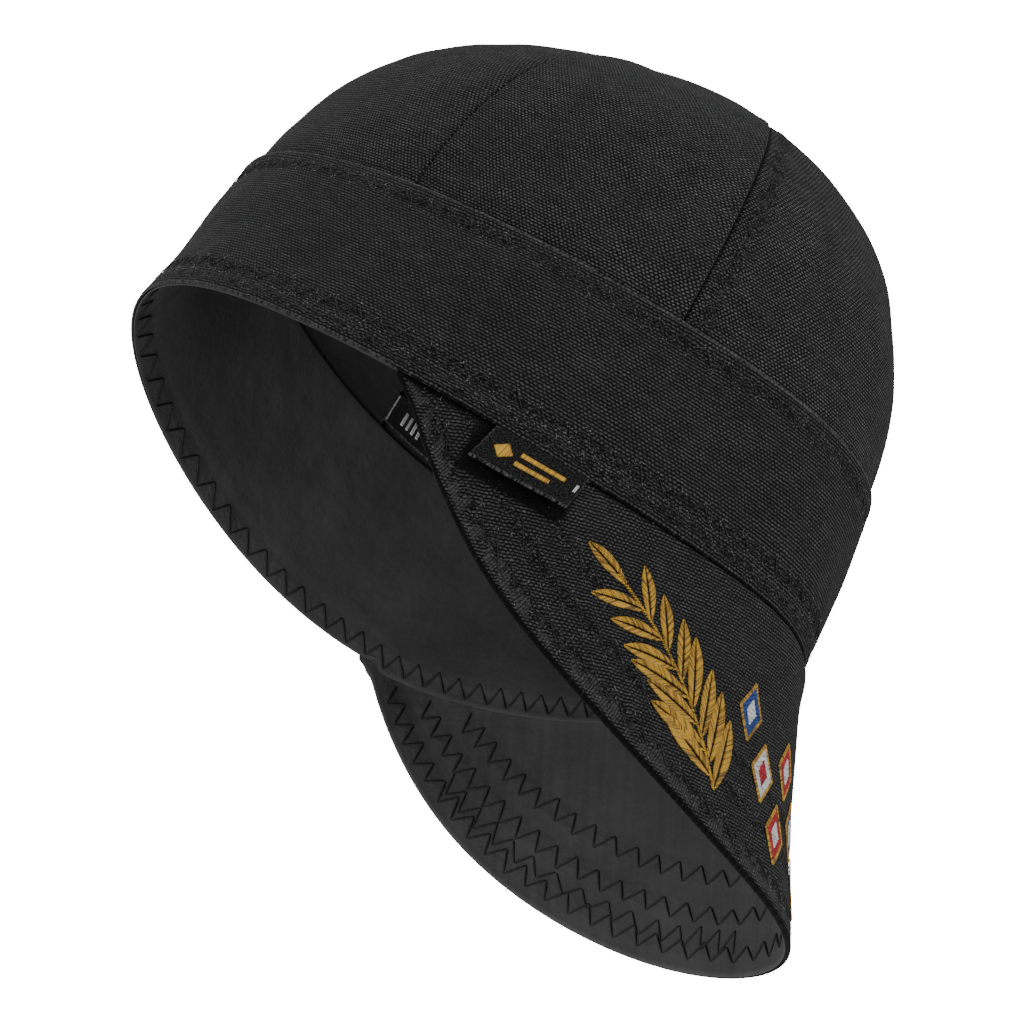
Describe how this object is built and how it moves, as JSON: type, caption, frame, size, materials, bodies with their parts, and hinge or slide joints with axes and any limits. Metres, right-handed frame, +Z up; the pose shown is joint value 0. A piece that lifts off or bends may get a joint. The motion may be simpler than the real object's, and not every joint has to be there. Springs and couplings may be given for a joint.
{
  "type": "welding cap",
  "caption": "Black cotton welding cap: a six-panel crown on a turned-up side band, a lined head opening and a deep stitched brim that hangs over one edge.",
  "frame": {"origin": "middle of the head opening, level with the rim at the forehead and the nape, where a head holds the cap", "axes": "+Z up through the crown, -Y forward over the brim, -X towards the wearer's right, where the woven tab is"},
  "size_m": [0.1942, 0.2338, 0.2057],
  "materials": {
    "crown_duck": "matt black cotton duck, plain weave",
    "band_duck": "matt black cotton duck, plain weave, folded upper edge",
    "lining_duck": "matt black cotton, plain weave, zigzag stitched",
    "brim_duck": "matt black cotton duck, quilted by rows of zigzag",
    "woven_tape": "black woven tape with a slight sheen"
  },
  "bodies": {
    "root": {"crown_front_right": "crown_duck", "crown_front_left": "crown_duck", "crown_side_right": "crown_duck", "crown_side_left": "crown_duck", "crown_rear_right": "crown_duck", "crown_rear_left": "crown_duck", "side_band": "band_duck", "lining_band": "lining_duck", "brim": "brim_duck", "woven_tab": "woven_tape", "size_label": "woven_tape"}
  },
  "joints": []
}
